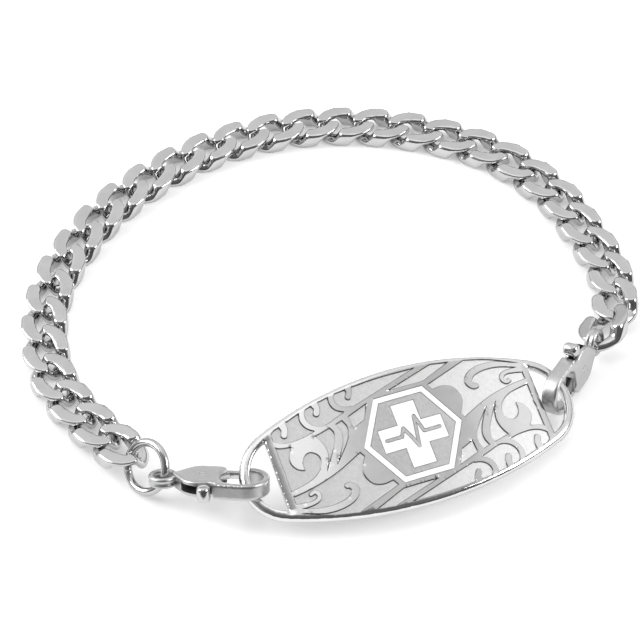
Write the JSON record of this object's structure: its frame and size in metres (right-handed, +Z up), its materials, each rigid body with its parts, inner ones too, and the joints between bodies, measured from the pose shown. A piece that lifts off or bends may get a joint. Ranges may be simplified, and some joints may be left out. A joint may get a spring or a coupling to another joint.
{
  "type": "medical alert bracelet",
  "caption": "Steel medical alert bracelet with an oval scroll tag, enamel hexagon, two lobster clasps and a flat curb chain, lying in a loop",
  "frame": {"origin": "middle of the bracelet's box, on the surface it lies on", "axes": "+Z up, +X along the front from the left clasp to the right one, +Y from the tag towards the far side of the chain"},
  "size_m": [0.0711, 0.0652, 0.0079],
  "materials": {
    "tag_steel": "polished relief on matt ground, brushed back",
    "white_enamel": "gloss enamel",
    "polished_steel": "polished",
    "clasp_steel": "satin"
  },
  "bodies": {
    "bracelet": {"tag_plate": "tag_steel", "emblem_frame": "white_enamel", "emblem_mark": "white_enamel", "jump_ring": "polished_steel", "left_clasp_body": "clasp_steel", "left_clasp_pin": "clasp_steel", "right_clasp_body": "clasp_steel", "right_clasp_pin": "clasp_steel", "link_01": "polished_steel", "link_02": "polished_steel", "link_03": "polished_steel", "link_04": "polished_steel", "link_05": "polished_steel", "link_06": "polished_steel", "link_07": "polished_steel", "link_08": "polished_steel", "link_09": "polished_steel", "link_10": "polished_steel", "link_11": "polished_steel", "link_12": "polished_steel", "link_13": "polished_steel", "link_14": "polished_steel", "link_15": "polished_steel", "link_16": "polished_steel", "link_17": "polished_steel", "link_18": "polished_steel", "link_19": "polished_steel", "link_20": "polished_steel", "link_21": "polished_steel", "link_22": "polished_steel", "link_23": "polished_steel", "link_24": "polished_steel", "link_25": "polished_steel", "link_26": "polished_steel", "link_27": "polished_steel", "link_28": "polished_steel", "link_29": "polished_steel", "link_30": "polished_steel"},
    "left_lever": {"left_clasp_lever": "clasp_steel"},
    "right_lever": {"right_clasp_lever": "clasp_steel"}
  },
  "joints": [
    {"name": "left_lever_hinge", "type": "hinge", "parent": "bracelet", "child": "left_lever", "pos_m": [-0.01361, -0.02765, 0.00353], "axis": [0.0263, -0.4735, -0.8804], "range_deg": [0, 9], "stiffness_Nm_per_rad": 0.002, "springref_deg": -11.46},
    {"name": "right_lever_hinge", "type": "hinge", "parent": "bracelet", "child": "right_lever", "pos_m": [0.02785, -0.01075, 0.00223], "axis": [-0.8433, 0.4884, -0.2244], "range_deg": [0, 12], "stiffness_Nm_per_rad": 0.002, "springref_deg": -11.46}
  ]
}
